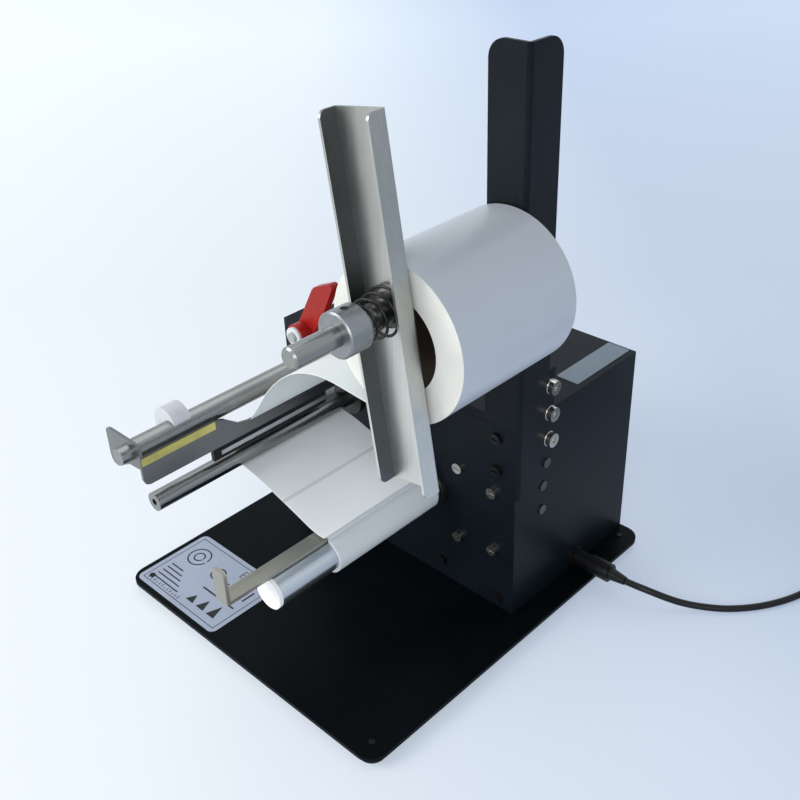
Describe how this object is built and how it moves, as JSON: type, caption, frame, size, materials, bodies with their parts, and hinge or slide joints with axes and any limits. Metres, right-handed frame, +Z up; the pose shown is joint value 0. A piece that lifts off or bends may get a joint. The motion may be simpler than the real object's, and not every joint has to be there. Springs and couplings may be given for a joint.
{
  "type": "label dispenser",
  "caption": "Motor driven label dispenser: black box on a base plate, with supply roll, peel blade, clamp lever, liner take-up and power lead.",
  "frame": {"origin": "on the floor plane under the middle of the base plate, at the undersides of the feet", "axes": "+X along the front face to the roll's side, +Y to the back, +Z up; the rollers and the roll stand out of the front face along -Y"},
  "size_m": [0.3233, 0.3821, 0.2845],
  "materials": {
    "black_coat": "satin black powder coat with a fine grain",
    "black_screw": "black oxide, slightly worn",
    "stainless": "brushed stainless sheet",
    "ground_steel": "ground bright steel bar",
    "nickel": "nickel plated",
    "zinc": "zinc plated steel",
    "spring_steel": "drawn spring wire",
    "rubber": "moulded matte rubber",
    "label_paper": "coated white label stock",
    "liner_paper": "pale grey-green glassine backing",
    "core_board": "spiral wound cardboard",
    "silver_strip": "thin silver foil strip",
    "red_plastic": "moulded red, semi-gloss",
    "black_plastic": "moulded black",
    "grey_plastic": "light grey moulded",
    "white_plastic": "white moulded acetal",
    "yellow_tape": "amber film tape",
    "brass_bush": "sintered bronze",
    "board_green": "green circuit laminate",
    "aluminium_rail": "light anodised strip",
    "cord_black": "smooth black jacket"
  },
  "bodies": {
    "frame": {"base_plate": "black_coat", "base_screws": "zinc", "clamp_bracket": "black_coat", "clamp_stud": "zinc", "clamp_washer": "zinc", "control_board": "board_green", "cord_coil": "cord_black", "cover_label_strip": "silver_strip", "foot_screws": "zinc", "front_plate": "black_coat", "gearmotor": "zinc", "guide_lock_washers": "nickel", "guide_screws": "nickel", "guide_short_screws": "nickel", "guide_tapped_bar": "black_coat", "housing_shell": "black_coat", "inner_roll_guide": "black_coat", "label_web": "label_paper", "lever_cap": "grey_plastic", "liner_web": "liner_paper", "motor_plate": "zinc", "motor_posts": "zinc", "motor_screws": "nickel", "pan_screws": "black_screw", "peel_bar": "ground_steel", "power_adapter": "black_plastic", "power_cord": "cord_black", "power_jack": "black_plastic", "power_plug": "black_plastic", "rubber_feet": "rubber", "shaft_bushes": "brass_bush", "speed_bushing": "zinc", "spindle": "ground_steel", "spindle_nut": "nickel", "switch_body": "black_plastic", "top_cover": "black_coat", "tower_spring": "spring_steel"},
    "collar": {"spindle_collar": "ground_steel", "collar_set_screw": "black_screw"},
    "hub": {"guide_hub": "black_plastic"},
    "outer_guide": {"outer_roll_guide": "stainless"},
    "supply_roll": {"label_roll": "label_paper", "roll_core": "core_board"},
    "web_guide": {"bar_guide_ring": "grey_plastic"},
    "head": {"peel_head": "stainless", "wear_strip": "yellow_tape", "label_sensor": "black_plastic", "sensor_rail": "aluminium_rail"},
    "lever": {"clamp_lever": "red_plastic"},
    "roller": {"lower_roller": "ground_steel"},
    "take_up": {"takeup_shaft": "ground_steel", "takeup_tube": "ground_steel", "tube_end_plug": "white_plastic", "liner_roll": "liner_paper", "takeup_gear": "white_plastic"},
    "clip": {"liner_clip_bar": "stainless"},
    "motor_drive": {"motor_shaft": "ground_steel", "motor_gear": "white_plastic"},
    "knob": {"speed_knob": "black_plastic"},
    "rocker": {"switch_rocker": "red_plastic"}
  },
  "joints": [
    {"name": "collar_slide", "type": "slide", "parent": "frame", "child": "collar", "axis": [0, -1, 0], "range_m": [0, 0.018]},
    {"name": "guide_float", "type": "slide", "parent": "frame", "child": "hub", "axis": [0, -1, 0], "range_m": [0, 0.006], "deforming": ["tower_spring"]},
    {"name": "guide_swing", "type": "hinge", "parent": "hub", "child": "outer_guide", "pos_m": [0.074, -0.063, 0.203], "axis": [0, 1, 0], "continuous": true},
    {"name": "supply_roll_spin", "type": "hinge", "parent": "frame", "child": "supply_roll", "pos_m": [0.073, -0.027, 0.18723], "axis": [0, 1, 0], "continuous": true},
    {"name": "web_guide_slide", "type": "slide", "parent": "frame", "child": "web_guide", "axis": [0, -1, 0], "range_m": [-0.02, 0.016]},
    {"name": "head_tilt", "type": "hinge", "parent": "frame", "child": "head", "pos_m": [-0.0327, -0.06, 0.1216], "axis": [0, 1, 0], "range_deg": [-6, 6], "deforming": ["label_web", "liner_web"]},
    {"name": "lever_turn", "type": "hinge", "parent": "frame", "child": "lever", "pos_m": [-0.051, 0, 0.126], "axis": [0, 1, 0], "range_deg": [-110, 24]},
    {"name": "lower_roller_spin", "type": "hinge", "parent": "frame", "child": "roller", "pos_m": [-0.0314, -0.06, 0.0913], "axis": [0, 1, 0], "continuous": true},
    {"name": "takeup_spin", "type": "hinge", "parent": "frame", "child": "take_up", "pos_m": [0.0252, -0.06, 0.0603], "axis": [0, 1, 0], "continuous": true},
    {"name": "clip_slide", "type": "slide", "parent": "take_up", "child": "clip", "axis": [0, -1, 0], "range_m": [0, 0.1]},
    {"name": "motor_gear_spin", "type": "hinge", "parent": "frame", "child": "motor_drive", "pos_m": [0.04672, 0.025, 0.05842], "axis": [0, 1, 0], "continuous": true},
    {"name": "speed_knob_turn", "type": "hinge", "parent": "frame", "child": "knob", "pos_m": [-0.086, 0.06, 0.07], "axis": [-1, 0, 0], "range_deg": [-140, 140]},
    {"name": "rocker_tip", "type": "hinge", "parent": "frame", "child": "rocker", "pos_m": [-0.0767, 0.088, 0.07], "axis": [0, 1, 0], "range_deg": [-8, 8]}
  ],
  "couplings": [
    {"joint": "motor_gear_spin", "follows": "takeup_spin", "ratio": -0.8}
  ]
}
